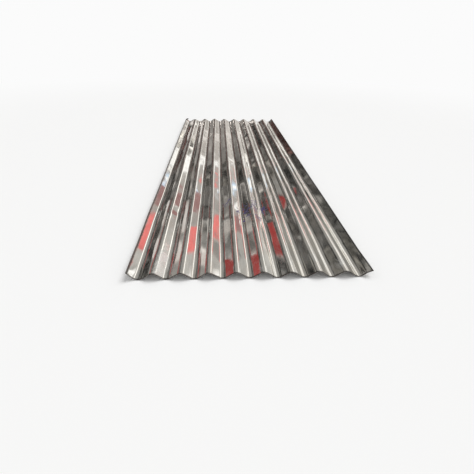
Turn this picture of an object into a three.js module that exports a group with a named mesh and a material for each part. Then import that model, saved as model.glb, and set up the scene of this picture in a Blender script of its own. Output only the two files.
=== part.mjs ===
// Galvanised corrugated roofing sheet: eight corrugations rolled into one flat steel sheet,
// with both long edges turned up past the outer valleys.
// Millimetres. X runs across the corrugations, Y along them and Z up. The origin lies under the
// middle of the sheet, on the plane that its valleys rest on.

import * as THREE from 'three';

// Driving dimensions
const sheetLength = 2000;
const sheetThickness = 0.5;
const corrugations = 8;
const pitch = 76; // from one valley to the next
const depth = 18; // from valley to crest, on the same face of the sheet
const bendRadius = 17.5; // of every crest and valley, at mid thickness
const lipAngle = THREE.MathUtils.degToRad( 34 ); // rise of the turned-up long edges
const lipFlat = 28.5; // flat width of those edges, past the bend
const bendFacets = 9; // an odd count leaves a level facet along each crest and valley

// The flanks are tangent to the bends. Their angle makes two bends and the flat between them
// span half a pitch across and the whole depth up.
const halfPitch = pitch / 2;
const bendExcess = 2 * bendRadius - depth;
const flankAngle = Math.asin( 2 * bendRadius / Math.hypot( halfPitch, bendExcess ) )
	- Math.atan2( bendExcess, halfPitch );

// Lowest height of the sheet's underside, whose valley facets are chords of their bends. The
// smaller swing, of a flank or of a lip, reaches lower.
const valleyFloor = bendRadius
	- ( bendRadius + sheetThickness / 2 ) * Math.cos( Math.min( flankAngle, lipAngle ) / bendFacets );

const galvanisedSteel = new THREE.MeshStandardMaterial( {
	color: 0xb4b3ad,
	roughness: 0.2,
	metalness: 1
} );

// Stations of the centre line through one bend, from left to right. Each has its point and its
// slope. A valley turns from falling to rising, and a crest from rising to falling.
function bendStations( centreX, isCrest, leftAngle, rightAngle ) {

	const turn = isCrest ? - 1 : 1;
	const stations = [];

	for ( let i = 0; i <= bendFacets; i ++ ) {

		const fraction = 2 * i / bendFacets - 1;
		const swing = fraction * ( fraction < 0 ? leftAngle : rightAngle );
		const rise = bendRadius * ( 1 - Math.cos( swing ) );

		stations.push( {
			x: centreX + bendRadius * Math.sin( swing ),
			z: isCrest ? depth - rise : rise,
			slope: turn * swing
		} );

	}

	return stations;

}

// The free end of a turned-up edge, lipFlat beyond the outer station of its bend.
function lipEnd( station, side ) {

	return {
		x: station.x + side * lipFlat * Math.cos( station.slope ),
		z: station.z + lipFlat * Math.sin( Math.abs( station.slope ) ),
		slope: station.slope
	};

}

// Centre line of the whole section. Bends follow each other every half pitch, valleys at the
// even places, and the stretch between two bends is a straight flank.
function centreLine() {

	const lastBend = 2 * corrugations;
	const bends = [];

	for ( let i = 0; i <= lastBend; i ++ ) {

		const centreX = ( i - corrugations ) * halfPitch;
		const leftAngle = i === 0 ? lipAngle : flankAngle;
		const rightAngle = i === lastBend ? lipAngle : flankAngle;
		bends.push( ...bendStations( centreX, i % 2 === 1, leftAngle, rightAngle ) );

	}

	return [ lipEnd( bends.at( 0 ), - 1 ), ...bends, lipEnd( bends.at( - 1 ), 1 ) ];

}

// A point of one face of the sheet, offset from the centre line along its normal.
function facePoint( station, offset ) {

	return new THREE.Vector2(
		station.x - offset * Math.sin( station.slope ),
		station.z + offset * Math.cos( station.slope )
	);

}

// Closed section of the sheet: along its underside, then back along its top.
function sheetSection() {

	const stations = centreLine();
	const underside = stations.map( ( station ) => facePoint( station, - sheetThickness / 2 ) );
	const top = stations.map( ( station ) => facePoint( station, sheetThickness / 2 ) );

	return new THREE.Shape( [ ...underside, ...top.reverse() ] );

}

// The section runs unchanged from one cut end to the other.
function corrugatedSheet() {

	const geometry = new THREE.ExtrudeGeometry( sheetSection(), {
		depth: sheetLength,
		steps: 1,
		bevelEnabled: false
	} );
	geometry.rotateX( Math.PI / 2 );
	geometry.translate( 0, sheetLength / 2, - valleyFloor );

	const mesh = new THREE.Mesh( geometry, galvanisedSteel );
	mesh.name = 'corrugated_sheet';
	return mesh;

}

const part = new THREE.Group();
part.add( corrugatedSheet() );

export default part;
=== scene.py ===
# A galvanised corrugated roofing sheet lying on a pale floor in soft light.
# X runs across the corrugations, Y along them and Z up. Blender works in metres. The sheet's own sizes
# are in millimetres and all angles in degrees, unless a note says otherwise.

import bpy
import numpy as np
from mathutils import Matrix, Vector


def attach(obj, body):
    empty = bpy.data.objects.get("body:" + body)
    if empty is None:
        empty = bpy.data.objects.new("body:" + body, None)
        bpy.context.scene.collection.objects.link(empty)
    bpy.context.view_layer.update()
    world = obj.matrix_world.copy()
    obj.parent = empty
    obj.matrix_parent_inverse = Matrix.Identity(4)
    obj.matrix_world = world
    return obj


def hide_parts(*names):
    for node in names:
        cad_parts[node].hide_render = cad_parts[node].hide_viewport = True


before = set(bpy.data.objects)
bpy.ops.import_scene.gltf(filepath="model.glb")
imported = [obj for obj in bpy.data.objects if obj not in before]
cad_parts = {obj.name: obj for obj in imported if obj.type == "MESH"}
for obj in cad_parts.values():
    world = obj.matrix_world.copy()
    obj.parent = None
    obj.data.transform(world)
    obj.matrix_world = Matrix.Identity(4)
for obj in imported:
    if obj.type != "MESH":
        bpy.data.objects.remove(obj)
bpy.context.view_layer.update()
print("frame loaded")

mm = 0.001
nodesInRow = 10
nodeSpacing = (240, 320)  # in the node editor

cameraSettings = {
    "place": (-0.0834, -1.7211, 0.5635),  # metres
    "turn": 3.47,  # to the right of +Y
    "dip": 30.78,  # below level
    "roll": 1.26,
    "lens": 25.27,
    "sensor": 36.0,  # the picture is square
    "clip": (0.05, 200.0),  # metres
}


def placeCamera(settings):
    # axes: ahead from turn and dip, then right and up turned about it by the roll
    turn, dip, roll = np.radians([settings[key] for key in ("turn", "dip", "roll")])
    level = np.array([np.sin(turn), np.cos(turn), 0.0])
    vertical = np.array([0.0, 0.0, 1.0])
    ahead = np.cos(dip) * level - np.sin(dip) * vertical
    over = np.sin(dip) * level + np.cos(dip) * vertical
    side = np.array([np.cos(turn), -np.sin(turn), 0.0])
    right = np.cos(roll) * side + np.sin(roll) * over
    up = -np.sin(roll) * side + np.cos(roll) * over
    data = bpy.data.cameras.new("sheetCamera")
    data.lens = settings["lens"]
    data.sensor_width = settings["sensor"]
    data.clip_start, data.clip_end = settings["clip"]
    camera = bpy.data.objects.new("sheetCamera", data)
    turned = Matrix(np.column_stack([right, up, -ahead]).tolist()).to_4x4()
    camera.matrix_world = Matrix.Translation(settings["place"]) @ turned
    bpy.context.collection.objects.link(camera)
    bpy.context.scene.camera = camera


placeCamera(cameraSettings)
print("camera placed")


def smoothStep(low, high, value):
    # 0 at low, 1 at high, and 3t^2 - 2t^3 between; low may be the larger of the two
    share = np.clip((value - low) / (high - low), 0.0, 1.0)
    return share * share * (3.0 - 2.0 * share)


def plateau(low, high, edge, value):
    # 1 between low and high, falling smoothly to 0 over one edge width across each of them
    rising = smoothStep(low - edge / 2, low + edge / 2, value)
    return rising * (1.0 - smoothStep(high - edge / 2, high + edge / 2, value))


def gridFaces(rows, columns, start=0):
    # quads of a grid whose points run along its columns first, as four corner numbers each
    row, column = np.meshgrid(np.arange(rows - 1), np.arange(columns - 1), indexing="ij")
    first = start + (row * columns + column).ravel()
    return np.stack([first, first + 1, first + columns + 1, first + columns], axis=1)


def meshObject(name, points, faces, smooth=True):
    mesh = bpy.data.meshes.new(name)
    mesh.from_pydata(points.tolist(), [], faces.tolist())
    mesh.polygons.foreach_set("use_smooth", np.full(len(mesh.polygons), smooth))
    mesh.update()
    made = bpy.data.objects.new(name, mesh)
    bpy.context.collection.objects.link(made)
    return made


def storeOnPoints(made, name, kind, values):
    # one value, vector or colour per point, for the materials to read
    field = {"FLOAT": "value", "FLOAT_VECTOR": "vector", "FLOAT_COLOR": "color"}[kind]
    stored = made.data.attributes.new(name, kind, "POINT")
    stored.data.foreach_set(field, np.ascontiguousarray(values, dtype=np.float32).ravel())


def addNode(tree, kind, **values):
    # nodes are laid out in rows, in the order of their making
    node = tree.nodes.new(kind)
    row, column = divmod(len(tree.nodes) - 1, nodesInRow)
    node.location = (column * nodeSpacing[0], -row * nodeSpacing[1])
    for key, value in values.items():
        setattr(node, key, value)
    return node


def feed(tree, socket, value):
    # a socket is linked, anything else is set
    if isinstance(value, bpy.types.NodeSocket):
        tree.links.new(value, socket)
    else:
        socket.default_value = value


def newMaterial(name):
    material = bpy.data.materials.new(name)
    material.use_nodes = True
    material.node_tree.nodes.clear()
    return material


def nodeGroup(name, inputs, output):
    # a shader node group that takes a vector, Place, and named numbers, and gives one number
    tree = bpy.data.node_groups.new(name, "ShaderNodeTree")
    newSocket = tree.interface.new_socket
    newSocket(name="Place", in_out="INPUT", socket_type="NodeSocketVector")
    for label, value in inputs.items():
        newSocket(name=label, in_out="INPUT", socket_type="NodeSocketFloat").default_value = value
    newSocket(name=output, in_out="OUTPUT", socket_type="NodeSocketFloat")
    given = addNode(tree, "NodeGroupInput").outputs
    return tree, given, addNode(tree, "NodeGroupOutput").inputs[0]


def placeGroup(tree, group, spot, **values):
    # the group as a node of this tree, with a number or a linked socket for each named input
    node = addNode(tree, "ShaderNodeGroup", node_tree=group)
    for key, value in {"Place": spot, **values}.items():
        feed(tree, node.inputs[key], value)
    return node.outputs[0]


def maths(tree, operation, *values, clamp=False):
    node = addNode(tree, "ShaderNodeMath", operation=operation, use_clamp=clamp)
    for socket, value in zip(node.inputs, values):
        feed(tree, socket, value)
    return node.outputs[0]


def times(tree, first, second, clamp=False):
    return maths(tree, "MULTIPLY", first, second, clamp=clamp)


def timesPlus(tree, first, second, added, clamp=False):
    return maths(tree, "MULTIPLY_ADD", first, second, added, clamp=clamp)


def stretched(tree, vector, scales):
    # the vector times its own scale in each direction
    node = addNode(tree, "ShaderNodeVectorMath", operation="MULTIPLY")
    tree.links.new(vector, node.inputs[0])
    node.inputs[1].default_value = scales
    return node.outputs[0]


def noise(tree, vector, scale=1.0, detail=2.0, roughness=0.5, distortion=0.0):
    node = addNode(tree, "ShaderNodeTexNoise")
    tree.links.new(vector, node.inputs["Vector"])
    named = {"Scale": scale, "Detail": detail, "Roughness": roughness, "Distortion": distortion}
    for key, value in named.items():
        feed(tree, node.inputs[key], value)
    return node.outputs["Fac"]


def stretchedNoise(tree, vector, scales, *values):
    # noise of a vector that is stretched first
    return noise(tree, stretched(tree, vector, scales), *values)


def stepUp(tree, value, low, high, start=0.0, end=1.0):
    # start at low, end at high, and a smooth step between them
    node = addNode(tree, "ShaderNodeMapRange", interpolation_type="SMOOTHSTEP")
    named = {"Value": value, "From Min": low, "From Max": high, "To Min": start, "To Max": end}
    for key, fed in named.items():
        feed(tree, node.inputs[key], fed)
    return node.outputs["Result"]


def blend(tree, share, first, second):
    # from the first colour to the second
    node = addNode(tree, "ShaderNodeMix", data_type="RGBA")
    sockets = [socket for socket in node.inputs if socket.enabled]
    for socket, value in zip(sockets, (share, first, second)):
        feed(tree, socket, value)
    return next(socket for socket in node.outputs if socket.enabled)


def cellNet(tree, vector, scale):
    # a net of cells: the distance from each one's middle, and a random value for each
    cells = addNode(tree, "ShaderNodeTexVoronoi")
    cells.inputs["Scale"].default_value = scale
    tree.links.new(vector, cells.inputs["Vector"])
    split = addNode(tree, "ShaderNodeSeparateColor")
    tree.links.new(cells.outputs["Color"], split.inputs[0])
    return cells.outputs["Distance"], split.outputs[0]


def finishMetal(tree, colour, metallic, roughness, height):
    # the shader of a metal whose surface is raised by this height, in metres, and the output
    bump = addNode(tree, "ShaderNodeBump")
    bump.inputs["Distance"].default_value = 1.0
    tree.links.new(height, bump.inputs["Height"])
    metal = addNode(tree, "ShaderNodeBsdfPrincipled")
    tree.links.new(colour, metal.inputs["Base Color"])
    tree.links.new(metallic, metal.inputs["Metallic"])
    tree.links.new(roughness, metal.inputs["Roughness"])
    tree.links.new(bump.outputs["Normal"], metal.inputs["Normal"])
    out = addNode(tree, "ShaderNodeOutputMaterial")
    tree.links.new(metal.outputs[0], out.inputs["Surface"])


floorSettings = {
    "reach": 120.0,  # metres
    "colour": (0.935, 0.935, 0.93),
    "roughness": 0.9,
    "shine": 0.1,
    "fade": (1.6, 4.5),  # metres from the middle, over which the floor turns to the background
    "background": 0.965,
}


def seenDirectly(tree):
    # 1 for camera, glossy and transmission rays, 0 for the rays that carry the light
    seen = addNode(tree, "ShaderNodeLightPath").outputs
    cameraOrGlossy = maths(tree, "MAXIMUM", seen["Is Camera Ray"], seen["Is Glossy Ray"])
    return maths(tree, "MAXIMUM", cameraOrGlossy, seen["Is Transmission Ray"])


def buildFloor(settings):
    # a flat square, its own colour near the sheet and the background's further away
    material = newMaterial("paleFloor")
    tree = material.node_tree
    out = addNode(tree, "ShaderNodeOutputMaterial")
    mix = addNode(tree, "ShaderNodeMixShader")
    plain = addNode(tree, "ShaderNodeBsdfPrincipled")
    plain.inputs["Base Color"].default_value = (*settings["colour"], 1.0)
    plain.inputs["Roughness"].default_value = settings["roughness"]
    plain.inputs["Specular IOR Level"].default_value = settings["shine"]
    glow = addNode(tree, "ShaderNodeEmission")
    glow.inputs["Color"].default_value = (1.0, 1.0, 1.0, 1.0)
    glow.inputs["Strength"].default_value = settings["background"]
    spot = addNode(tree, "ShaderNodeTexCoord")
    length = addNode(tree, "ShaderNodeVectorMath", operation="LENGTH")
    tree.links.new(spot.outputs["Object"], length.inputs[0])
    faded = stepUp(tree, length.outputs["Value"], *settings["fade"])
    share = times(tree, seenDirectly(tree), faded)
    tree.links.new(share, mix.inputs["Fac"])
    tree.links.new(plain.outputs[0], mix.inputs[1])
    tree.links.new(glow.outputs[0], mix.inputs[2])
    tree.links.new(mix.outputs[0], out.inputs["Surface"])
    reach = settings["reach"]
    corners = np.array([[-1.0, -1.0, 0.0], [1.0, -1.0, 0.0], [1.0, 1.0, 0.0], [-1.0, 1.0, 0.0]])
    floor = meshObject("floor", corners * reach, np.array([[0, 1, 2, 3]]), smooth=False)
    floor.data.materials.append(material)


# What the bright metal mirrors: the inside of a big half drum whose axis runs along the sheet.
# "across" is the angle round the drum from straight up, to the right positive, and "along" is the
# angle from +Y. Brightness 1 is white.
surroundSettings = {
    "radius": 100.0,  # metres
    # its mesh: how far it reaches across and in how many points, and from, to and step along
    "reachAcross": 105.0,
    "pointsAcross": 421,
    "stepsAlong": [(0.5, 9.0, 1.0), (9.0, 45.0, 0.2), (45.0, 180.0, 1.0)],
    # the room: at each angle along, its tint and its knots of across and brightness
    "bands": [
        (15.0, (1.0, 0.93, 0.87), [
            (-105, 0.35), (-65, 0.30), (-45, 0.10), (-5, 0.08), (30, 0.40), (50, 0.48), (80, 0.72),
            (105, 0.95),
        ]),
        (28.0, (1.0, 0.95, 0.89), [
            (-105, 0.26), (-60, 0.12), (-10, 0.06), (20, 0.22), (48, 0.60), (75, 0.54), (105, 0.95),
        ]),
        (34.0, (1.0, 0.98, 0.93), [
            (-105, 0.28), (-75, 0.34), (-45, 0.09), (-22, 0.08), (-8, 0.35), (30, 0.55), (50, 0.82),
            (70, 0.60), (105, 1.0),
        ]),
    ],
    # what is to the sides, above and behind, past the last of those: where it begins and is full,
    # its tint and its knots
    "beyond": (43.5, 58.0, (1.0, 0.98, 0.94), [
        (-105, 0.80), (-88, 0.70), (-72, 0.52), (-62, 0.24), (-54, 0.17), (-47, 0.38), (-38, 0.75),
        (-28, 1.0), (-14, 0.68), (-4, 0.52), (6, 0.66), (16, 1.0), (26, 0.82), (36, 0.52), (44, 0.60),
        (50, 0.95), (58, 0.82), (66, 0.45), (76, 0.52), (88, 0.80), (105, 0.90),
    ]),
    # a long roof light: across from, to, the width of its soft edges, brightness, and where it fades
    "roofLight": (36.5, 46.0, 3.0, 1.85, (43.5, 58.0)),
    "colours": {
        "white": (1.45, 1.44, 1.41),
        "sky": (0.85, 1.12, 1.42),
        "pale": (0.90, 0.84, 0.80),
        "light": (0.60, 0.57, 0.54),
        "grey": (0.36, 0.35, 0.33),
        "dim": (0.21, 0.20, 0.18),
        "dark": (0.090, 0.084, 0.076),
        "rose": (1.15, 0.31, 0.29),
        "clay": (0.46, 0.26, 0.25),
        "brick": (0.40, 0.068, 0.064),
        "umber": (0.090, 0.046, 0.040),
    },
    # boards and windows in the room: across from, to, along from, to, colour
    "panels": [
        (47, 56, 17.5, 20.5, "white"), (60, 78, 17.8, 18.8, "white"), (50, 84, 13.5, 14.5, "pale"),
        (52, 56, 21.5, 23.6, "sky"), (52, 56, 22.2, 23.0, "white"),
        (68, 84, 21.6, 23.4, "sky"), (68, 84, 22.1, 22.9, "white"), (68, 80, 25.4, 26.8, "white"),
        (58, 66, 37.0, 44.0, "white"),
        (51, 60, 29.2, 34.5, "rose"), (61, 70, 27.5, 30.5, "rose"), (62, 69, 20.0, 21.3, "rose"),
        (46, 60, 23.5, 27.0, "clay"), (70, 80, 27.5, 30.0, "clay"), (60, 70, 31.5, 34.5, "grey"),
        (42, 54, 14.5, 17.0, "dim"),
        (-68, -53, 34.5, 38.5, "brick"), (-53, -44, 30.0, 36.0, "brick"),
        (-46, -39, 25.5, 28.0, "brick"), (-46, -39, 23.0, 25.2, "grey"),
        (-84, -68, 33.0, 36.0, "pale"), (-84, -74, 26.0, 31.0, "pale"), (-92, -74, 12.0, 15.5, "pale"),
        (-68, -52, 28.0, 31.0, "light"), (-75, -36, 18.5, 22.5, "dark"),
        (-46, -33, 30.5, 33.0, "dark"), (-40, -30, 37.0, 43.0, "dim"), (-32, -6, 11.0, 20.5, "umber"),
    ],
    "panelEdges": (0.56, 0.28),  # across and along
    # uneven patches, small ones in the room and larger ones over the rest: how many, and the limits of
    # their places across and along and of their radii across and along
    "patchSeed": 8,
    "smallPatches": (2200, (-100.0, 100.0), (10.0, 45.0), (0.8, 4.4), (0.25, 1.3)),
    "largePatches": (170, (-100.0, 100.0), (52.0, 175.0), (4.0, 15.0), (3.0, 11.0)),
    # how far they lighten or darken: the small ones where the room is bright and where it is dark, the
    # brightness that counts as bright and as dark, and the large ones
    "patchDepths": (0.10, 1.3),
    "patchLevels": (0.40, 0.08),
    "largeDepth": 0.55,
}


def readKnots(tint, knots, across):
    # straight lines between the knots, times the tint
    return np.interp(across, *np.array(knots).T)[..., None] * np.array(tint)


def roomGlow(settings, across, along):
    # each band's brightness is read off its knots, and smooth steps along the drum lead from one to
    # the next; over them lie the roof light and then the panels, each with soft edges
    bands = settings["bands"]
    steps = [(near[0], *far) for near, far in zip(bands[:-1], bands[1:])]
    steps.append(settings["beyond"])
    firstTint, firstKnots = bands[0][1:]
    glow = readKnots(firstTint, firstKnots, across)
    for start, end, tint, knots in steps:
        glow = glow + (readKnots(tint, knots, across) - glow) * smoothStep(start, end, along)[..., None]
    left, right, soft, bright, fade = settings["roofLight"]
    lit = (plateau(left, right, soft, across) * (1.0 - smoothStep(*fade, along)))[..., None]
    lastTint = np.array(bands[-1][1])
    glow = glow * (1.0 - lit) + bright * lastTint * lit
    softAcross, softAlong = settings["panelEdges"]
    for left, right, near, far, colour in settings["panels"]:
        mask = plateau(left, right, softAcross, across) * plateau(near, far, softAlong, along)
        mask = mask[..., None]
        glow = glow * (1.0 - mask) + np.array(settings["colours"][colour]) * mask
    return glow


def scatterPatches(draw, patches, across, along):
    # the sum of flat-topped blots of random place, size and strength: each is e to minus the sixth
    # power of the distance from its middle, in its own radii
    count, placeAcross, placeAlong, sizeAcross, sizeAlong = patches
    total = np.zeros(across.shape)
    for patch in range(count):
        place = draw.uniform(*placeAcross), draw.uniform(*placeAlong)
        radii = draw.uniform(*sizeAcross), draw.uniform(*sizeAlong)
        strength = draw.uniform(-1.0, 1.0)
        squared = ((across - place[0]) / radii[0]) ** 2 + ((along - place[1]) / radii[1]) ** 2
        total += strength * np.exp(-(squared ** 3))
    return total


def drumGlow(settings, across, along):
    # the room's colours times e to the power of the patches, the small ones deeper where it is dark
    glow = roomGlow(settings, across, along)
    draw = np.random.default_rng(settings["patchSeed"])
    inBright, inDark = settings["patchDepths"]
    depth = inBright + (inDark - inBright) * smoothStep(*settings["patchLevels"], glow.max(axis=-1))
    small = scatterPatches(draw, settings["smallPatches"], across, along)
    large = scatterPatches(draw, settings["largePatches"], across, along)
    return glow * np.exp(small * depth + large * settings["largeDepth"])[..., None]


def buildSurround(settings):
    # drum of radius r, angle p across and q along: x = r sin q sin p, y = r cos q, z = r sin q cos p
    reach = settings["reachAcross"]
    stepsAcross = np.linspace(-reach, reach, settings["pointsAcross"])
    stepsAlong = np.concatenate([np.arange(*span) for span in settings["stepsAlong"]])
    across, along = np.meshgrid(stepsAcross, stepsAlong, indexing="xy")
    p, q = np.radians(across), np.radians(along)
    points = np.stack([np.sin(q) * np.sin(p), np.cos(q), np.sin(q) * np.cos(p)], axis=-1)
    drum = meshObject("surround", settings["radius"] * points.reshape(-1, 3), gridFaces(*across.shape))
    colours = np.ones(across.shape + (4,))
    colours[..., :3] = drumGlow(settings, across, along)
    storeOnPoints(drum, "glow", "FLOAT_COLOR", colours)
    material = newMaterial("softSurround")
    material.cycles.emission_sampling = "NONE"
    tree = material.node_tree
    out = addNode(tree, "ShaderNodeOutputMaterial")
    light = addNode(tree, "ShaderNodeEmission")
    read = addNode(tree, "ShaderNodeAttribute", attribute_name="glow")
    tree.links.new(read.outputs["Color"], light.inputs["Color"])
    tree.links.new(light.outputs[0], out.inputs["Surface"])
    drum.data.materials.append(material)
    drum.visible_camera = False
    drum.visible_diffuse = False
    drum.visible_shadow = False


def buildWorld(background, level):
    # plain white light, and the background's brightness for what is seen of it
    world = bpy.data.worlds.new("paleWorld")
    world.use_nodes = True
    tree = world.node_tree
    tree.nodes.clear()
    out = addNode(tree, "ShaderNodeOutputWorld")
    shade = addNode(tree, "ShaderNodeBackground")
    shade.inputs["Color"].default_value = (1.0, 1.0, 1.0, 1.0)
    pick = addNode(tree, "ShaderNodeMapRange")
    pick.inputs["To Min"].default_value = level
    pick.inputs["To Max"].default_value = background
    tree.links.new(seenDirectly(tree), pick.inputs["Value"])
    tree.links.new(pick.outputs[0], shade.inputs["Strength"])
    tree.links.new(shade.outputs[0], out.inputs["Surface"])
    bpy.context.scene.world = world


lampSettings = {
    "level": 0.40,  # its share of the light on a level surface; the world gives the rest
    "from": (0.55, 0.45, 1.0),
    "angle": 38.0,  # how wide the lamp looks, for soft shadows
}


def hangLamp(settings):
    # one broad soft lamp; a sun of strength pi, straight above, lights a white floor to 1
    data = bpy.data.lights.new("softLamp", "SUN")
    place = np.array(settings["from"]) / np.linalg.norm(settings["from"])
    data.energy = float(settings["level"] * np.pi / place[2])
    data.angle = np.radians(settings["angle"])
    lamp = bpy.data.objects.new("softLamp", data)
    lamp.rotation_mode = "QUATERNION"
    lamp.rotation_quaternion = Vector(place.tolist()).to_track_quat("Z", "Y")
    lamp.visible_glossy = False
    bpy.context.collection.objects.link(lamp)


buildFloor(floorSettings)
buildSurround(surroundSettings)
hangLamp(lampSettings)
buildWorld(floorSettings["background"], 1.0 - lampSettings["level"])
bpy.context.scene.view_settings.view_transform = "Standard"
print("floor and surroundings built")

sheetSettings = {
    "length": 2000.0,
    "thickness": 0.5,
    "corrugations": 8,
    "pitch": 76.0,
    "depth": 18.0,
    "bendRadius": 17.5,
    "lipAngle": 34.0,
    "lipFlat": 28.5,
    # mesh
    "bendCells": 8,
    "flatShares": (0.12, 0.37, 0.63, 0.88),
    "lipShares": (0.10, 0.28, 0.44, 0.56, 0.70, 0.86, 1.0),
    "rows": 200,
    "rowSamples": 4001,
    "endRows": 1.4,  # how much denser the rows are at the two cut ends
    "endReach": 90.0,
    # unevenness from the rolls: sideways and upward wander of each bend
    "wanderSide": 0.35,
    "wanderUp": 0.16,
    "wanderLengths": (260.0, 900.0),
    "bow": 0.025,  # how far the flats bulge, at most
    # long edge on the left: its valley is pushed out except at the near end, and its lip stands a
    # little steeper and flares at the near end
    "leftPush": 2.0,
    "leftPushReach": 280.0,
    "leftLipAngle": 38.4,
    "leftFlare": 5.0,
    "leftFlareReach": 90.0,
    # long edge on the right: near its end the lip is lifted and its outer strip lies over, past a
    # fold that takes up these shares of its width
    "cornerLift": 5.0,
    "cornerLay": 16.0,
    "cornerStretch": 3.0,
    "cornerReach": 120.0,
    "foldShares": (0.40, 0.60),
    # far ends of both long edges, knocked up; the left one curls over these shares of its width
    "leftCurl": 125.0,
    "leftCurlShares": (0.20, 1.0),
    "rightCurl": 26.0,
    "curlReach": 62.0,
    "curlPower": 1.4,
    # broad waves over the whole surface, and small dents: how many, radii and depth
    "waves": 14,
    "waveAcross": (70.0, 300.0),
    "waveAlong": (90.0, 420.0),
    "waveDepth": 0.10,
    "dents": 220,
    "dentAcross": (5.0, 13.0),
    "dentAlong": (12.0, 48.0),
    "dentDepth": 0.06,
    "dentShares": (0.4, 1.0),  # of that depth
    # knocks at the ends: x, y, radius across, radius along, height
    "knocks": [
        (-322, 988, 8, 13, 3.4), (-310, 968, 9, 14, -2.4),
        (-326, 950, 7, 12, 1.4), (-266, 996, 15, 14, -4.2),
        (-262, 968, 12, 12, 1.5), (-292, 982, 9, 14, 1.6),
        (-281, 996, 7, 9, 1.4), (-190, 997, 9, 8, -0.9),
        (-114, 998, 8, 9, 0.8), (36, 997, 10, 9, -0.9),
        (190, 998, 9, 8, 0.7), (318, 988, 9, 13, -1.8),
        (326, 972, 7, 11, 1.1), (-322, -996, 8, 10, -0.8),
        (-262, -998, 9, 8, 0.5), (114, -998, 9, 8, -0.5),
        (322, -990, 9, 14, 0.7), (-251, -640, 9, 22, 0.5),
        (-243, -600, 8, 16, -0.45), (-240, -560, 9, 18, 0.4),
    ],
    "waveSeed": 11,
    # painted shade and rougher metal reach this far in from the cut edges, and further on the left
    "rimReach": 5.5,
    "leftRimShare": 1.6,
    # marks on the top, by kind: x, y, radius across, radius along, strength
    "marks": {
        "bloom": [
            (-248, -930, 26, 150, 0.75), (-170, -975, 30, 40, 0.45), (30, -985, 60, 26, 0.40),
            (255, -960, 50, 50, 0.50), (-60, 940, 90, 70, 0.50), (150, 975, 70, 50, 0.55),
            (-300, 930, 40, 90, 0.60), (326, -300, 12, 380, 0.45), (-328, 300, 10, 420, 0.45),
            (110, 120, 30, 160, 0.32), (190, -560, 22, 120, 0.35), (-110, 420, 30, 120, 0.32),
        ],
        "soot": [
            (-277, 337, 6, 56, 0.7), (-281, 83, 6.5, 30, 0.8), (-284, 200, 5.5, 70, 0.5),
            (-246, 400, 7, 46, 0.65), (-243, 560, 6, 60, 0.5), (-331, 980, 9, 32, 0.95),
            (-268, 990, 13, 24, 0.85), (324, 985, 12, 26, 0.9), (-150, 700, 4, 80, 0.45),
            (82, 660, 5, 110, 0.4),
        ],
        "ink": [
            (-50, -545, 20, 60, 0.80), (-14, -610, 12, 60, 0.75), (16, -600, 20, 80, 0.85),
            (48, -560, 18, 90, 0.80), (84, -580, 20, 60, 0.85), (60, -655, 18, 40, 0.75),
        ],
    },
}


def rowPlaces(sheet):
    # places along Y whose spacing follows one over a density that rises towards both ends
    half = sheet["length"] / 2
    y = np.linspace(-half, half, sheet["rowSamples"])
    density = 1.0 + sheet["endRows"] * np.exp(-(half - np.abs(y)) / sheet["endReach"])
    count = np.concatenate([[0.0], np.cumsum((density[1:] + density[:-1]) / 2)])
    return np.interp(np.linspace(0.0, count[-1], sheet["rows"]), count, y)


def wander(y, bends, size, lengths, seed, waves=5):
    # for each bend a sum of sines along Y, of random length and phase
    draw = np.random.default_rng(seed)
    length = draw.uniform(*lengths, (bends, waves))
    phase = draw.uniform(0.0, 2 * np.pi, (bends, waves))
    sines = np.sin(2 * np.pi * y[:, None, None] / length + phase)
    return size * sines.sum(axis=-1) / np.sqrt(waves / 2)


def nearEnd(distance, reach):
    # 1 at an end of the sheet, and a smooth fall to 0 at its reach
    return 1 - smoothStep(0.0, reach, distance)


def bendCentres(sheet, y):
    # where each bend stands in each row: every half pitch across, valleys at 0 and crests at the
    # depth, both with the wander of the rolls, and the valley on the left pushed out
    half, lengths, seed = sheet["pitch"] / 2, sheet["wanderLengths"], sheet["waveSeed"]
    number = np.arange(2 * sheet["corrugations"] + 1)
    sideways = wander(y, len(number), sheet["wanderSide"], lengths, seed)
    upwards = wander(y, len(number), sheet["wanderUp"], lengths, seed + 1)
    x = (number - sheet["corrugations"]) * half + sideways
    z = np.where(number % 2 == 1, sheet["depth"], 0.0) + upwards
    x[:, 0] -= sheet["leftPush"] * smoothStep(0.0, sheet["leftPushReach"], y + sheet["length"] / 2)
    return x, z


def flankAngles(gap, rise, radius):
    # the angle at which two tangent bends and the flat between them span the gap and the rise
    excess = 2 * radius - rise
    return np.arcsin(2 * radius / np.hypot(gap, excess)) - np.arctan2(excess, gap)


def bendArcs(sheet, centreX, centreZ, left, right):
    # each bend swings from minus the angle on its left to the angle on its right: at swing t its point
    # lies r sin t across from its middle, and r (1 - cos t) above a valley or below a crest
    radius = sheet["bendRadius"]
    crest = np.arange(centreX.shape[1]) % 2 == 1
    share = np.linspace(-1.0, 1.0, sheet["bendCells"] + 1)
    swing = share * np.where(share < 0, left[..., None], right[..., None])
    rise = radius * (1 - np.cos(swing))
    x = centreX[..., None] + radius * np.sin(swing)
    z = centreZ[..., None] + np.where(crest[:, None], -rise, rise)
    return np.stack([x, z], axis=-1)


def joinBends(sheet, arcs, y):
    # the bends with the flats between them; at share u of its width a flat bulges by 4 b u (1 - u)
    share = np.array(sheet["flatShares"])[:, None]
    span = arcs[:, 1:, :1, :] - arcs[:, :-1, -1:, :]
    sideways = np.stack([-span[..., 1], span[..., 0]], axis=-1)
    sideways = sideways / np.linalg.norm(span, axis=-1, keepdims=True)
    flatCount = arcs.shape[1] - 1
    bow = wander(y, flatCount, sheet["bow"], sheet["wanderLengths"], sheet["waveSeed"] + 2)
    bulge = 4 * bow[..., None, None] * share * (1 - share)
    flats = arcs[:, :-1, -1:, :] + span * share + bulge * sideways
    line = np.concatenate([arcs[:, :-1], flats], axis=2).reshape(len(y), -1, 2)
    return np.concatenate([line, arcs[:, -1]], axis=1)


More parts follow.
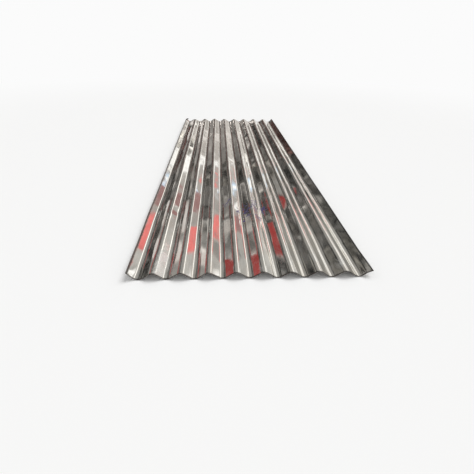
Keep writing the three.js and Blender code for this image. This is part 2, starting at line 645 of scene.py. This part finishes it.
def lipLine(start, side, width, steps, turn):
    # from the outer bend outwards in short straight steps, each at its own angle
    lengths = width[:, None] * steps
    x = start[..., 0] + side * np.cumsum(lengths * np.cos(turn), axis=1)
    z = start[..., 1] + np.cumsum(lengths * np.sin(turn), axis=1)
    return np.stack([x, z], axis=-1)


def centreLines(sheet, y):
    # every row's section at mid thickness: arcs of the bend radius joined by tangent flats, and a lip
    # at each side
    radius, plainLip = sheet["bendRadius"], np.radians(sheet["lipAngle"])
    centreX, centreZ = bendCentres(sheet, y)
    gap = np.diff(centreX, axis=1)
    flank = flankAngles(gap, np.abs(np.diff(centreZ, axis=1)), radius)
    fromNear = y + sheet["length"] / 2
    nearLeft = nearEnd(fromNear, sheet["leftFlareReach"])
    nearRight = nearEnd(fromNear, sheet["cornerReach"])
    far = nearEnd(sheet["length"] / 2 - y, sheet["curlReach"]) ** sheet["curlPower"]
    leftLip = np.radians(sheet["leftLipAngle"] + sheet["leftFlare"] * nearLeft)
    rightLip = plainLip + np.radians(sheet["cornerLift"]) * nearRight
    left = np.column_stack([leftLip, flank])
    right = np.column_stack([flank, rightLip])
    middle = joinBends(sheet, bendArcs(sheet, centreX, centreZ, left, right), y)
    # a lip is as wide as the strip leaves it, less what its bend or its neighbouring flank takes more
    firstGap, firstFlank = gap[:, 0], flank[:, 0]
    taken = (firstGap - 2 * radius * np.sin(firstFlank)) / np.cos(firstFlank) + 2 * radius * firstFlank
    leftWidth = sheet["lipFlat"] - radius * (leftLip - plainLip) - (taken - taken[0])
    stretch = sheet["cornerStretch"] * nearRight
    rightWidth = sheet["lipFlat"] - radius * (rightLip - plainLip) + stretch
    # its angle at each share of its width
    shares = np.array(sheet["lipShares"])
    steps = np.diff(np.concatenate([[0.0], shares]))
    curl = np.radians(sheet["leftCurl"]) * far[:, None] * smoothStep(*sheet["leftCurlShares"], shares)
    layOver = np.radians(sheet["cornerLay"]) * nearRight - np.radians(sheet["rightCurl"]) * far
    fold = layOver[:, None] * smoothStep(*sheet["foldShares"], shares)
    leftEdge = lipLine(middle[:, :1], -1, leftWidth, steps, leftLip[:, None] + curl)
    rightEdge = lipLine(middle[:, -1:], 1, rightWidth, steps, rightLip[:, None] - fold)
    return np.concatenate([leftEdge[:, ::-1], middle, rightEdge], axis=1)


def surfaceNormals(points):
    # across the two directions of the grid, from the difference between each point's neighbours
    along = np.gradient(points, axis=0)
    across = np.gradient(points, axis=1)
    normal = np.cross(across, along)
    return normal / np.linalg.norm(normal, axis=-1, keepdims=True)


def unevenness(sheet, across, along, x):
    # height over the true surface: long sine waves in random directions, then dents and knocks, each
    # a bell curve of its own two radii
    draw = np.random.default_rng(sheet["waveSeed"] + 3)
    height = np.zeros(across.shape)
    for wave in range(sheet["waves"]):
        lengths = draw.uniform(*sheet["waveAcross"]), draw.uniform(*sheet["waveAlong"])
        turn = draw.choice([-1.0, 1.0])
        phase = draw.uniform(0.0, 2 * np.pi)
        height += np.sin(2 * np.pi * (across / lengths[0] + turn * along / lengths[1]) + phase)
    height *= sheet["waveDepth"] / np.sqrt(sheet["waves"] / 2)
    for dent in range(sheet["dents"]):
        place = draw.uniform(0.0, across.max()), draw.uniform(0.0, sheet["length"])
        radii = draw.uniform(*sheet["dentAcross"]), draw.uniform(*sheet["dentAlong"])
        depth = sheet["dentDepth"] * draw.choice([-1.0, 1.0]) * draw.uniform(*sheet["dentShares"])
        bell = -((across - place[0]) / radii[0]) ** 2 - ((along - place[1]) / radii[1]) ** 2
        height += depth * np.exp(bell)
    for placeX, placeY, wide, tall, depth in sheet["knocks"]:
        fromPlace = along - sheet["length"] / 2 - placeY
        height += depth * np.exp(-((x - placeX) / wide) ** 2 - (fromPlace / tall) ** 2)
    return height


def storeSurfaceInputs(sheet, made, middle, across, along):
    # what the materials read: each point's place on the sheet before it was rolled, with the side as
    # its third part; its height as a share of the depth; its nearness to a cut edge, falling as a bell
    # curve, which places the painted shade along the edges; and its marks, each a bell curve of its own
    # two radii, the strongest of a kind
    side = np.stack([np.zeros(across.shape), np.ones(across.shape)])
    unrolled = np.stack([np.stack([across * mm, along * mm, face], axis=-1) for face in side])
    raised = np.clip(middle[..., 2] / sheet["depth"], 0.0, 1.0)
    toSide = np.minimum(across / sheet["leftRimShare"], across.max() - across)
    toEdge = np.minimum(np.minimum(along, sheet["length"] - along), toSide)
    nearEdge = np.exp(-((toEdge / sheet["rimReach"]) ** 2))
    marks = np.zeros(across.shape + (4,))
    for channel, kind in enumerate(("bloom", "soot", "ink")):
        for x, y, wide, tall, strength in sheet["marks"][kind]:
            bell = -((middle[..., 0] - x) / wide) ** 2 - ((middle[..., 1] - y) / tall) ** 2
            marks[..., channel] = np.maximum(marks[..., channel], strength * np.exp(bell))
    storeOnPoints(made, "unrolled", "FLOAT_VECTOR", unrolled)
    storeOnPoints(made, "raised", "FLOAT", np.stack([raised, 1.0 - raised]))
    storeOnPoints(made, "nearEdge", "FLOAT", np.stack([nearEdge, nearEdge]))
    storeOnPoints(made, "marks", "FLOAT_COLOR", np.stack([marks, 0.0 * marks]))


def sharpenRim(mesh, loop, count):
    # the edges that lie along the rim of either face are sharp
    onRim = np.zeros(2 * count, bool)
    onRim[loop] = True
    onRim[loop + count] = True
    edges = np.empty(2 * len(mesh.edges), int)
    mesh.edges.foreach_get("vertices", edges)
    edges = edges.reshape(-1, 2)
    sameFace = (edges[:, 0] < count) == (edges[:, 1] < count)
    sharp = onRim[edges].all(axis=1) & sameFace
    mesh.attributes.new("sharp_edge", "BOOLEAN", "EDGE").data.foreach_set("value", sharp)


def buildSheet(sheet):
    # the sections at every row make one surface; its top and underside lie half the thickness to
    # either side of it along its normals, and a rim joins them round the four cut edges
    y = rowPlaces(sheet)
    section = centreLines(sheet, y)
    rows, columns = section.shape[:2]
    rowY = np.broadcast_to(y[:, None], (rows, columns))
    middle = np.stack([section[..., 0], rowY, section[..., 1]], axis=-1)
    # distance across the sheet as it was before it was rolled, and along it from the near end
    steps = np.linalg.norm(np.diff(section, axis=1), axis=-1).mean(axis=0)
    across = np.broadcast_to(np.concatenate([[0.0], np.cumsum(steps)]), (rows, columns))
    along = rowY + sheet["length"] / 2
    height = unevenness(sheet, across, along, middle[..., 0])
    middle = middle + surfaceNormals(middle) * height[..., None]
    lift = surfaceNormals(middle) * sheet["thickness"] / 2
    points = np.concatenate([(middle + lift).reshape(-1, 3), (middle - lift).reshape(-1, 3)])
    points[:, 2] -= points[:, 2].min()
    count = rows * columns
    topFaces = gridFaces(rows, columns)
    underFaces = gridFaces(rows, columns, count)[:, ::-1]
    index = np.arange(count).reshape(rows, columns)
    loop = np.concatenate([index[0, :-1], index[:-1, -1], index[-1, :0:-1], index[:0:-1, 0]])
    ahead = np.roll(loop, -1)
    rim = np.stack([loop, loop + count, ahead + count, ahead], axis=1)
    made = meshObject("galvanised_sheet", points * mm, np.concatenate([topFaces, underFaces, rim]))
    sharpenRim(made.data, loop, count)
    slots = np.repeat([0, 1], [2 * len(topFaces), len(rim)])
    made.data.polygons.foreach_set("material_index", slots)
    storeSurfaceInputs(sheet, made, middle, across, along)
    return made


# Stretches multiply a place across, along and from face to face. A noise is its stretch, scale,
# detail, roughness and distortion. A step is from, to, and the values at those if not 0 and 1.
linesSettings = {
    "narrow": ((950.0, 7.0, 3.0), 1.0, 3.0),
    "broad": ((150.0, 1.6, 3.0), 1.0, 2.0),
    "narrowShare": 0.4,
    "broadShare": 0.6,
    "strength": 3.2,
}


def rollingLinesGroup(lines):
    # fine lines along the sheet, where the rolls and guides rubbed it: noise drawn out a hundredfold,
    # once narrow and once broad, and stretched about its middle value
    tree, given, out = nodeGroup("rollingLines", {"Contrast": 1.0}, "Lines")
    narrow = stretchedNoise(tree, given["Place"], *lines["narrow"])
    broad = stretchedNoise(tree, given["Place"], *lines["broad"])
    both = times(tree, narrow, lines["narrowShare"])
    both = timesPlus(tree, broad, lines["broadShare"], both)
    fromMiddle = maths(tree, "SUBTRACT", both, 0.5)
    strength = times(tree, given["Contrast"], lines["strength"])
    tree.links.new(timesPlus(tree, fromMiddle, strength, 0.5, clamp=True), out)
    return tree


smudgeSettings = {
    "sockets": {"Scale": 20.0, "Cover": 0.4, "Edge": 0.12},
    "stretch": (1.35, 0.62, 5.0),
    "detail": 7.0,
    "roughness": 0.62,
    "distortion": 0.9,
    "levels": (-0.5, 0.75),  # level of the noise past which there is a smudge: times Cover, plus
}


def cloudySmudgesGroup(smudge):
    # hazy smudges with soft and hard edges: warped noise with many octaves, past a level set by Cover
    tree, given, out = nodeGroup("cloudySmudges", smudge["sockets"], "Smudge")
    texture = given["Scale"], smudge["detail"], smudge["roughness"], smudge["distortion"]
    cloud = stretchedNoise(tree, given["Place"], smudge["stretch"], *texture)
    level = timesPlus(tree, given["Cover"], *smudge["levels"])
    low = maths(tree, "SUBTRACT", level, given["Edge"])
    high = maths(tree, "ADD", level, given["Edge"])
    tree.links.new(stepUp(tree, cloud, low, high), out)
    return tree


scratchSettings = {
    # each set's turn in radians, and its stretch
    "sets": [(0.05, (1500.0, 13.0, 7.0)), (-0.22, (1100.0, 18.0, 7.0)), (0.9, (900.0, 24.0, 7.0))],
    "detail": 1.0,
    "step": (0.70, 0.80),
}


def fineScratchesGroup(scratch):
    # three sets of thin scratches, each noise drawn out along its own direction and cut at a high level
    tree, given, out = nodeGroup("fineScratches", {"Amount": 0.5}, "Scratches")
    total = None
    for turn, stretch in scratch["sets"]:
        turned = addNode(tree, "ShaderNodeVectorRotate", rotation_type="Z_AXIS")
        turned.inputs["Angle"].default_value = turn
        tree.links.new(given["Place"], turned.inputs["Vector"])
        drawn = stretchedNoise(tree, turned.outputs[0], stretch, 1.0, scratch["detail"])
        streaks = stepUp(tree, drawn, *scratch["step"])
        total = streaks if total is None else maths(tree, "MAXIMUM", total, streaks)
    tree.links.new(times(tree, total, given["Amount"]), out)
    return tree


grainSettings = {
    "warpScale": 260.0,
    "warp": (0.004, 0.004, 0.0),  # metres
    "cellScale": 150.0,
}


def zincGrainGroup(grain):
    # the faint flowered grain of the coating: a value for each cell of a net, its edges warped
    tree, given, out = nodeGroup("zincGrain", {}, "Grain")
    warp = addNode(tree, "ShaderNodeTexNoise")
    warp.inputs["Scale"].default_value = grain["warpScale"]
    tree.links.new(given["Place"], warp.inputs["Vector"])
    shift = addNode(tree, "ShaderNodeVectorMath", operation="MULTIPLY_ADD")
    tree.links.new(warp.outputs["Color"], shift.inputs[0])
    shift.inputs[1].default_value = grain["warp"]
    tree.links.new(given["Place"], shift.inputs[2])
    tree.links.new(cellNet(tree, shift.outputs[0], grain["cellScale"])[1], out)
    return tree


dustSettings = {
    "stretch": (1.5, 0.5, 5.0),
    "film": (34.0, 6.0, 0.6, 0.4),
    "filmStep": (0.40, 0.75),
    "specks": (420.0, 2.0),
    "speckStep": (0.62, 0.74),
    "speckShare": 0.45,
    "lowStep": (0.55, 0.0, 0.35, 1.0),  # of the height: the film is whole in the valleys
}


def settledDustGroup(dust):
    # dust and dried splashes: a noise film, thickest in the valleys, and specks anywhere
    tree, given, out = nodeGroup("settledDust", {"Raised": 0.5, "Amount": 0.5}, "Dust")
    drawn = stretched(tree, given["Place"], dust["stretch"])
    film = stepUp(tree, noise(tree, drawn, *dust["film"]), *dust["filmStep"])
    specks = noise(tree, drawn, *dust["specks"])
    specks = stepUp(tree, specks, *dust["speckStep"])
    film = times(tree, film, stepUp(tree, given["Raised"], *dust["lowStep"]))
    both = timesPlus(tree, specks, dust["speckShare"], film)
    tree.links.new(times(tree, both, given["Amount"], clamp=True), out)
    return tree


edgeBandSettings = {
    "noise": (95.0, 5.0, 0.65),
    "noiseShare": 0.62,
    "edgeShare": 0.85,
    "step": (0.66, 0.98),
}


def edgeBandGroup(edgeBand):
    # a ragged band along the cut edges: nearness to an edge, broken up by noise; on the top it is
    # painted shade, on the rim rust
    tree, given, out = nodeGroup("edgeBandMask", {"NearEdge": 0.0, "Amount": 0.5}, "Band")
    ragged = noise(tree, given["Place"], *edgeBand["noise"])
    ragged = times(tree, ragged, edgeBand["noiseShare"])
    reach = timesPlus(tree, given["NearEdge"], edgeBand["edgeShare"], ragged)
    inBand = stepUp(tree, reach, *edgeBand["step"])
    tree.links.new(times(tree, inBand, given["Amount"], clamp=True), out)
    return tree


zincSettings = {
    "bright": (0.72, 0.71, 0.68, 1.0),
    "rubbed": (0.62, 0.61, 0.585, 1.0),
    "warm": (0.66, 0.62, 0.57, 1.0),
    "haze": (0.52, 0.50, 0.47, 1.0),
    "bloom": (0.66, 0.66, 0.64, 1.0),
    # painted shade: the dark band along the cut edges
    "edgeShade": (0.060, 0.055, 0.050, 1.0),
    "ink": (0.040, 0.026, 0.15, 1.0),
    "soot": (0.035, 0.032, 0.030, 1.0),
    # what each node group is given
    "lines": {"Contrast": 1.0},
    "smudges": {"Scale": 16.0, "Cover": 0.42, "Edge": 0.10},
    "smears": {"Scale": 44.0, "Cover": 0.36, "Edge": 0.05},
    "scratches": {"Amount": 0.8},
    "dust": {"Amount": 0.13},
    "edgeBand": {"Amount": 0.9},
    # white bloom, soot and ink: the shares of stored mark and noise, and the step that cuts their sum
    "brokenNoise": ((1.6, 0.8, 5.0), 210.0, 6.0, 0.7, 0.6),
    "coarseNoise": ((1.4, 0.6, 5.0), 46.0, 5.0, 0.62, 0.8),
    "inkNoise": ((1.0, 0.55, 5.0), 100.0, 3.0, 0.62, 1.0),
    "bloomShares": (0.62, 0.75, 0.25),  # of the mark, the coarse noise and the broken noise
    "bloomStep": (0.72, 1.02, 0.0, 0.75),
    "sootShare": 0.75,
    "sootStep": (0.86, 1.0),
    "inkShare": 0.34,
    "inkStep": (0.755, 0.785, 0.0, 0.95),
    # scuffs: on the crests from and to these heights, where the coarse noise passes its step
    "scuffHeights": (0.45, 1.0),
    "scuffStep": (0.38, 0.70),
    # how far smudges and grain tint the metal
    "smudgeTint": 0.55,
    "grainTint": 0.10,
    # how dull each thing that lies on the metal makes it
    "smudgeHaze": 0.02,
    "smearHaze": 0.04,
    "scuffHaze": 0.07,
    "bloomCover": 0.55,
    "inkCover": 0.85,
    # roughness of the clean bright metal, and what each adds
    "gloss": 0.022,
    "rubbedRough": 0.022,
    "smudgeRough": 0.022,
    "scratchRough": 0.10,
    "edgeBandRough": 0.20,
    "coverRough": 0.42,
    # relief, its depths in metres
    "rippleNoise": ((1.3, 0.55, 5.0), 34.0, 2.0, 0.45),
    "fineNoise": ((1.2, 0.7, 5.0), 130.0, 2.0, 0.5),
    "dingStretch": (1.25, 0.7, 5.0),
    "dingScale": 26.0,
    "dingBowl": (0.32, 0.0),
    "dingChosen": (0.45, 0.95),
    "rippleDepth": 8.0e-5,
    "dingDepth": -0.75e-4,
    "fineDepth": 1.1e-5,
    "lineDepth": 1.5e-6,
    "grainDepth": 1.5e-6,
    "scratchDepth": -2.0e-6,
}


def readAttribute(tree, name, output):
    return addNode(tree, "ShaderNodeAttribute", attribute_name=name).outputs[output]


def zincMarks(tree, zinc, spot, coarse):
    # white bloom, soot and ink, each where its stored mark plus noise passes a level
    stored = readAttribute(tree, "marks", "Color")
    split = addNode(tree, "ShaderNodeSeparateColor")
    tree.links.new(stored, split.inputs[0])
    bloomMark, sootMark, inkMark = split.outputs
    broken = stretchedNoise(tree, spot, *zinc["brokenNoise"])
    markShare, coarseShare, brokenShare = zinc["bloomShares"]
    bloom = times(tree, broken, brokenShare)
    bloom = timesPlus(tree, coarse, coarseShare, bloom)
    bloom = timesPlus(tree, bloomMark, markShare, bloom)
    bloom = stepUp(tree, bloom, *zinc["bloomStep"])
    soot = timesPlus(tree, sootMark, zinc["sootShare"], broken)
    soot = stepUp(tree, soot, *zinc["sootStep"])
    ink = stretchedNoise(tree, spot, *zinc["inkNoise"])
    ink = timesPlus(tree, inkMark, zinc["inkShare"], ink)
    ink = stepUp(tree, ink, *zinc["inkStep"])
    return bloom, soot, ink


def zincRelief(tree, zinc, spot, lines, grain, scratches):
    # heights added up: small ripples, a bowl in some of the cells of a net for the dings, finer
    # ripples, the rolled lines, the coating's grain and the scratches
    ripple = stretchedNoise(tree, spot, *zinc["rippleNoise"])
    fine = stretchedNoise(tree, spot, *zinc["fineNoise"])
    drawn = stretched(tree, spot, zinc["dingStretch"])
    distance, chance = cellNet(tree, drawn, zinc["dingScale"])
    bowl = stepUp(tree, distance, *zinc["dingBowl"])
    ding = times(tree, bowl, stepUp(tree, chance, *zinc["dingChosen"]))
    height = times(tree, ripple, zinc["rippleDepth"])
    added = [(ding, "ding"), (fine, "fine"), (lines, "line"), (grain, "grain"), (scratches, "scratch")]
    for relief, name in added:
        height = timesPlus(tree, relief, zinc[name + "Depth"], height)
    return height


def galvanisedSteel(zinc, groups):
    # mirror-bright zinc, with rolled lines, smudges, dust, white bloom, soot, ink, painted shade along
    # the cut edges and small ripples
    material = newMaterial("galvanisedSteel")
    tree = material.node_tree
    spot = readAttribute(tree, "unrolled", "Vector")
    raised = readAttribute(tree, "raised", "Fac")
    nearEdge = readAttribute(tree, "nearEdge", "Fac")
    lines = placeGroup(tree, groups["lines"], spot, **zinc["lines"])
    grain = placeGroup(tree, groups["grain"], spot)
    smudge = placeGroup(tree, groups["smudges"], spot, **zinc["smudges"])
    smears = placeGroup(tree, groups["smudges"], spot, **zinc["smears"])
    scratches = placeGroup(tree, groups["scratches"], spot, **zinc["scratches"])
    dust = placeGroup(tree, groups["dust"], spot, Raised=raised, **zinc["dust"])
    # the band along the cut edges, which paints shade there and roughens the metal
    edgeBand = placeGroup(tree, groups["edgeBand"], spot, NearEdge=nearEdge, **zinc["edgeBand"])
    coarse = stretchedNoise(tree, spot, *zinc["coarseNoise"])
    bloom, soot, ink = zincMarks(tree, zinc, spot, coarse)
    # crests are scuffed on their way through the rolls and the pile
    crests = stepUp(tree, raised, *zinc["scuffHeights"])
    scuffed = times(tree, crests, stepUp(tree, coarse, *zinc["scuffStep"]))
    # colour of the metal
    colour = blend(tree, lines, zinc["rubbed"], zinc["bright"])
    tint = times(tree, smudge, zinc["smudgeTint"])
    colour = blend(tree, tint, colour, zinc["warm"])
    tint = times(tree, grain, zinc["grainTint"])
    colour = blend(tree, tint, colour, zinc["haze"])
    # what lies on it, and how far it hides the metal
    haze = timesPlus(tree, smudge, zinc["smudgeHaze"], dust)
    haze = timesPlus(tree, smears, zinc["smearHaze"], haze)
    haze = timesPlus(tree, scuffed, zinc["scuffHaze"], haze, clamp=True)
    # the band along the cut edges is painted shade
    layers = [(haze, "haze"), (bloom, "bloom"), (edgeBand, "edgeShade"), (ink, "ink"), (soot, "soot")]
    for mask, name in layers:
        colour = blend(tree, mask, colour, zinc[name])
    cover = timesPlus(tree, bloom, zinc["bloomCover"], haze)
    inked = times(tree, ink, zinc["inkCover"])
    cover = maths(tree, "MAXIMUM", cover, inked)
    cover = maths(tree, "MAXIMUM", cover, soot)
    bare = maths(tree, "SUBTRACT", 1.0, cover, clamp=True)
    between = maths(tree, "SUBTRACT", 1.0, lines)
    rough = timesPlus(tree, between, zinc["rubbedRough"], zinc["gloss"])
    for mask, name in [(smudge, "smudge"), (scratches, "scratch"), (edgeBand, "edgeBand")]:
        rough = timesPlus(tree, mask, zinc[name + "Rough"], rough)
    rough = timesPlus(tree, cover, zinc["coverRough"], rough, clamp=True)
    height = zincRelief(tree, zinc, spot, lines, grain, scratches)
    finishMetal(tree, colour, bare, rough, height)
    return material


rimSettings = {
    # dark cut steel, darkened further as painted shade along the cut edges
    "cut": (0.20, 0.19, 0.18, 1.0),
    "bright": (0.42, 0.41, 0.39, 1.0),
    "stain": (0.035, 0.032, 0.030, 1.0),
    "rust": (0.16, 0.065, 0.030, 1.0),
    "scratches": {"Amount": 1.0},
    "smudges": {"Scale": 60.0, "Cover": 0.45, "Edge": 0.10},
    "edgeBand": {"NearEdge": 0.58, "Amount": 0.75},
    "burrs": (340.0, 3.0),
    "burrStep": (0.52, 0.66),
    "burrDepth": 4.0e-5,  # metres
    "stainShare": 0.6,
    "gloss": 0.36,
    "rustRough": 0.4,
    "scratchRough": 0.15,
}


def shearedEdge(rim, groups):
    # the cut steel round the rim: darker, partly as painted shade along the cut edges, and rougher,
    # with bright burrs and a little rust
    material = newMaterial("shearedEdge")
    tree = material.node_tree
    spot = addNode(tree, "ShaderNodeTexCoord").outputs["Object"]
    scratches = placeGroup(tree, groups["scratches"], spot, **rim["scratches"])
    smudge = placeGroup(tree, groups["smudges"], spot, **rim["smudges"])
    rust = placeGroup(tree, groups["edgeBand"], spot, **rim["edgeBand"])
    burr = noise(tree, spot, *rim["burrs"])
    bright = stepUp(tree, burr, *rim["burrStep"])
    colour = blend(tree, bright, rim["cut"], rim["bright"])
    stained = times(tree, smudge, rim["stainShare"])
    colour = blend(tree, stained, colour, rim["stain"])
    colour = blend(tree, rust, colour, rim["rust"])
    bare = maths(tree, "SUBTRACT", 1.0, rust, clamp=True)
    rough = timesPlus(tree, rust, rim["rustRough"], rim["gloss"])
    rough = timesPlus(tree, scratches, rim["scratchRough"], rough, clamp=True)
    height = times(tree, burr, rim["burrDepth"])
    finishMetal(tree, colour, bare, rough, height)
    return material


groups = {
    "lines": rollingLinesGroup(linesSettings),
    "smudges": cloudySmudgesGroup(smudgeSettings),
    "scratches": fineScratchesGroup(scratchSettings),
    "grain": zincGrainGroup(grainSettings),
    "dust": settledDustGroup(dustSettings),
    "edgeBand": edgeBandGroup(edgeBandSettings),
}
print("node groups built")

galvanised = buildSheet(sheetSettings)
for steel in (galvanisedSteel(zincSettings, groups), shearedEdge(rimSettings, groups)):
    galvanised.data.materials.append(steel)
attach(galvanised, "root")
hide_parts("corrugated_sheet")
print("sheet built,", len(galvanised.data.polygons) * 2, "triangles")
